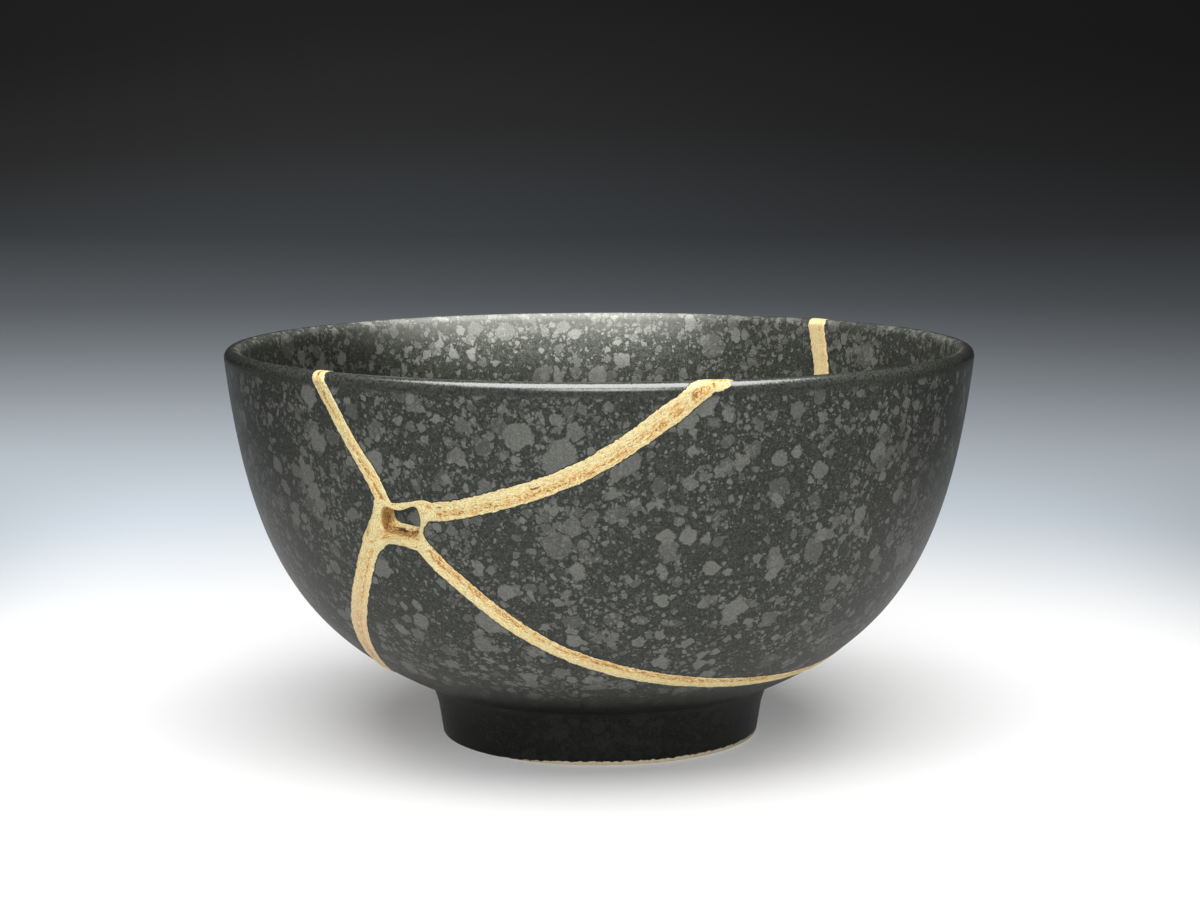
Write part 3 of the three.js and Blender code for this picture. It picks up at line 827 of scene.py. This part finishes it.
gold_pale = (0.92, 0.81, 0.44, 1)
gold_orange = (0.85, 0.52, 0.18, 1)
gold_deep = (0.42, 0.20, 0.06, 1)
gold_glint = (1.0, 0.86, 0.55, 1)
gold_fleck = (0.30, 0.16, 0.06, 1)
gold_lower_left = (0.74, 0.50, 0.32, 1)
painted_light_gold_back = (1.0, 0.74, 0.40, 1)
brightest = (0.98, 0.98, 0.98)
lacquer_brown = (0.055, 0.020, 0.008, 1)
lacquer_black = (0.008, 0.007, 0.006, 1)
gold_metal, gold_relief = 0.5, 0.0002

gold, tree, shader = new_material("gold_powder_on_lacquer")
wear = node(tree, "SeparateXYZ", {0: node(tree, "UVMap", uv_map="wear").outputs[0]}).outputs
in_mm = object_place(tree)
x, y, z = node(tree, "SeparateXYZ", {0: in_mm}).outputs
laid_at = node(tree, "UVMap", uv_map="laid").outputs[0]
brushed = node(tree, "Mapping", {"Vector": laid_at, "Scale": (1.1, 9.0, 1)}, vector_type="POINT").outputs[0]
brush = noise(tree, brushed, 1.0, 5, 0.68)
powder = noise(tree, in_mm, 4.5, 3, 0.7)
patch = noise(tree, in_mm, 0.8, 3)
mottling = noise(tree, in_mm, 3.2, 2, 0.6)

# Where the gold is thin, from rubbing, from the brush and in patches, the orange lacquer shows.
thin = product(tree, wear[0], ramp(tree, mottling, 0.36, 0.62, 0.25, 1.5))
thin = maths(tree, "ADD", thin, ramp(tree, brush, 0.32, 0.68, 0.34, -0.12))
thin = maths(tree, "ADD", thin, ramp(tree, patch, 0.3, 0.7, 0.14, -0.08))
dots = ramp(tree, noise(tree, in_mm, 5.5, 1), 0.57, 0.66)
dots = product(tree, dots, ramp(tree, patch, 0.38, 0.60, 0.35, 1.0))
colour = blended(tree, ramp(tree, thin, 0.08, 0.60), gold_pale, gold_orange)
colour = blended(tree, ramp(tree, thin, 0.45, 1.10), colour, gold_deep)
colour = blended(tree, ramp(tree, powder, 0.62, 0.8, 0.0, 0.35), colour, gold_glint)
colour = blended(tree, product(tree, dots, 0.65), colour, gold_fleck)
# Painted light: the gold at the upper left and at the back is painted lighter, and at the back warmer as
# well; towards the lower left it is a duller gold.
painted_light_upper_left = product(tree, ramp(tree, x, -22, -30), ramp(tree, z, 41, 47))
at_lower_left = product(tree, ramp(tree, x, -18, -30), ramp(tree, z, 36, 24))
painted_light_back = ramp(tree, y, 20, 35)
painted_lightening = maths(tree, "ADD", product(tree, painted_light_upper_left, 0.14), product(tree, painted_light_back, 0.07))
colour = scaled(tree, colour, product(
    tree, ramp(tree, powder, 0.34, 0.66, 0.89, 1.03), ramp(tree, brush, 0.36, 0.56, 0.78, 1.04),
    maths(tree, "ADD", 1.0, painted_lightening)))
colour = blended(tree, product(tree, at_lower_left, 0.40), colour, gold_lower_left)
colour = blended(tree, product(tree, painted_light_back, 0.40), colour, painted_light_gold_back)
colour = vector_maths(tree, "MINIMUM", colour, brightest)

# The second wear value says where the gold is gone: brown lacquer, and black along the edges; in the hole it
# also holds painted shade, deeper in and along a crevice.
bare = maths(tree, "ADD", wear[1], ramp(tree, powder, 0.3, 0.7, -0.12, 0.12))
bare = ramp(tree, bare, 0.35, 0.75)
colour = blended(tree, bare, colour, lacquer_brown)
colour = blended(tree, ramp(tree, wear[1], 0.88, 0.97), colour, lacquer_black)
tree.links.new(colour, shader.inputs["Base Color"])
tree.links.new(product(tree, one_less(tree, bare), gold_metal), shader.inputs["Metallic"])
rough = maths(tree, "ADD", ramp(tree, powder, 0.3, 0.7, 0.42, 0.56), product(tree, bare, -0.1))
tree.links.new(rough, shader.inputs["Roughness"])
relief = maths(tree, "ADD", product(tree, powder, 0.5), product(tree, brush, 0.7))
relief = maths(tree, "SUBTRACT", relief, product(tree, dots, 0.4))
bump = node(tree, "Bump", {"Height": relief, "Strength": 0.8, "Distance": gold_relief})
tree.links.new(bump.outputs[0], shader.inputs["Normal"])

seams.data.set_sharp_from_angle(angle=radians(70))
seams.data.materials.clear()
seams.data.materials.append(gold)
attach(seams, "root")
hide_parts("gold_lacquer_seams")


# ------------------------------------------------------------------------------------------
# The studio: a pale sheet, graded with painted light falloff and glowing faintly as painted light,
# that lies on the table and curves up into a backdrop, one large soft light above and before the bowl,
# a weaker one in front, and the camera.

table_front, table_back, backdrop_height = -1.6, 1.5, 1.6
sweep_radius = 0.45
sheet_half_width = 2.6
sweep = np.concatenate([
    np.linspace((table_front, 0), (table_back, 0), 40)[:-1],
    arc((table_back, sweep_radius), sweep_radius, -90, 0, 24)[:-1],
    np.linspace((table_back + sweep_radius, sweep_radius),
                (table_back + sweep_radius, backdrop_height), 8),
])
sweep_along = np.concatenate([[0], np.cumsum(np.linalg.norm(np.diff(sweep, axis=0), axis=1))])
sweep_along = sweep_along + table_front
across = np.linspace(-sheet_half_width, sheet_half_width, 5)
sheet = np.stack(np.broadcast_arrays(across[:, None], sweep[None, :, 0], sweep[None, :, 1]), -1)
sheet_along = np.stack([np.broadcast_to(sweep_along, sheet.shape[:2]), sheet[..., 0]], -1)
paper = mesh_object("paper_sweep", sheet.reshape(-1, 3) / MM,
                    grid_quads(len(across), len(sweep)).tolist(), along=sheet_along)

# Painted light falloff: the paper is painted white under the bowl, then greyer with distance behind it.
painted_falloff_grades = [(0.04, 0.68), (0.13, 0.61), (0.24, 0.51), (0.32, 0.44), (0.41, 0.37), (0.53, 0.29),
                (0.69, 0.22), (0.90, 0.17), (1.45, 0.155), (1.55, 0.14), (1.66, 0.10), (1.77, 0.055),
                (1.92, 0.024), (2.1, 0.014)]
paper_span = 2.5
paper_coolness, cool_from, cool_to = 0.09, 0.2, 1.7
# Painted light: the paper glows, most strongly near the bowl, where it lifts the shadow under it.
painted_glow_near_bowl = (0.12, 0.29)

paper_material, tree, shader = new_material("paper_with_painted_falloff")
on_paper = node(tree, "UVMap", uv_map="along").outputs[0]
towards_back, to_side, _ = node(tree, "SeparateXYZ", {0: on_paper}).outputs
behind = node(tree, "VectorMath", {0: on_paper}, operation="LENGTH").outputs["Value"]
painted_falloff_ramp = node(tree, "ValToRGB", {0: maths(tree, "DIVIDE", behind, paper_span)})
for place, grade in painted_falloff_grades:
    stop = painted_falloff_ramp.color_ramp.elements.new(place / paper_span)
    cool = paper_coolness * (cool_from < place < cool_to)
    stop.color = (grade * (1 - cool), grade, grade * (1 + cool), 1)
painted_falloff_ramp.color_ramp.elements.remove(painted_falloff_ramp.color_ramp.elements[0])
painted_falloff_ramp.color_ramp.elements.remove(painted_falloff_ramp.color_ramp.elements[-1])

# Painted shade: the sheet is painted darker to the right, well out to both sides of the bowl, and nearest the
# camera.
painted_shade_to_right = product(tree, ramp(tree, behind, 0.02, 0.25), ramp(tree, to_side, -0.35, 0.35, -0.19, 0.34))
painted_shade_far_out = product(tree, ramp(tree, maths(tree, "ABSOLUTE", to_side), 0.10, 0.22),
                  ramp(tree, towards_back, 0.35, 0.08))
painted_shade_nearest = ramp(tree, towards_back, -0.14, -0.40)
painted_falloff_colour = scaled(tree, painted_falloff_ramp.outputs[0], product(
    tree, one_less(tree, painted_shade_to_right), one_less(tree, painted_shade_far_out, 0.88), one_less(tree, painted_shade_nearest, 0.6)))
tree.links.new(painted_falloff_colour, shader.inputs["Base Color"])
# The glow takes the painted falloff colour and is strongest near the bowl: painted light.
tree.links.new(painted_falloff_colour, shader.inputs["Emission Color"])
tree.links.new(ramp(tree, behind, 0.24, 0.07, *painted_glow_near_bowl), shader.inputs["Emission Strength"])
shader.inputs["Roughness"].default_value = 0.7
paper.data.materials.append(paper_material)


def soft_light(name, place, size, power):
    """White rectangular area light at a place, turned to face the middle of the bowl."""
    light = bpy.data.lights.new(name, "AREA")
    light.shape, light.size, light.size_y = "RECTANGLE", size[0], size[1]
    light.energy = power
    made = bpy.data.objects.new(name, light)
    bpy.context.scene.collection.objects.link(made)
    made.location = place
    made.rotation_euler = (Vector(bowl_middle) - Vector(place)).to_track_quat("-Z", "Y").to_euler()


bowl_middle = (0, 0, 0.03)
soft_light("overhead_softbox", place=(0.02, -0.18, 0.78), size=(1.00, 0.80), power=14.0)
soft_light("front_softbox", place=(0.04, -1.0, 0.5), size=(0.6, 0.6), power=6.0)

air_light = 0.05
world = bpy.data.worlds.new("studio_air")
world.use_nodes = True
world.node_tree.nodes["Background"].inputs["Color"].default_value = (1, 1, 1, 1)
world.node_tree.nodes["Background"].inputs["Strength"].default_value = air_light
bpy.context.scene.world = world

camera_place = (0.00011, -0.42374, 0.10333)
camera_down, camera_roll = 7.7168, -0.1448
camera_data = bpy.data.cameras.new("camera")
camera_data.sensor_width = 36
camera_data.lens = 79.06
camera = bpy.data.objects.new("camera", camera_data)
bpy.context.scene.collection.objects.link(camera)
camera.matrix_world = (Matrix.Translation(camera_place)
                       @ Matrix.Rotation(radians(90 - camera_down), 4, "X")
                       @ Matrix.Rotation(radians(camera_roll), 4, "Z"))
bpy.context.scene.camera = camera
bpy.context.scene.view_settings.view_transform = "Standard"
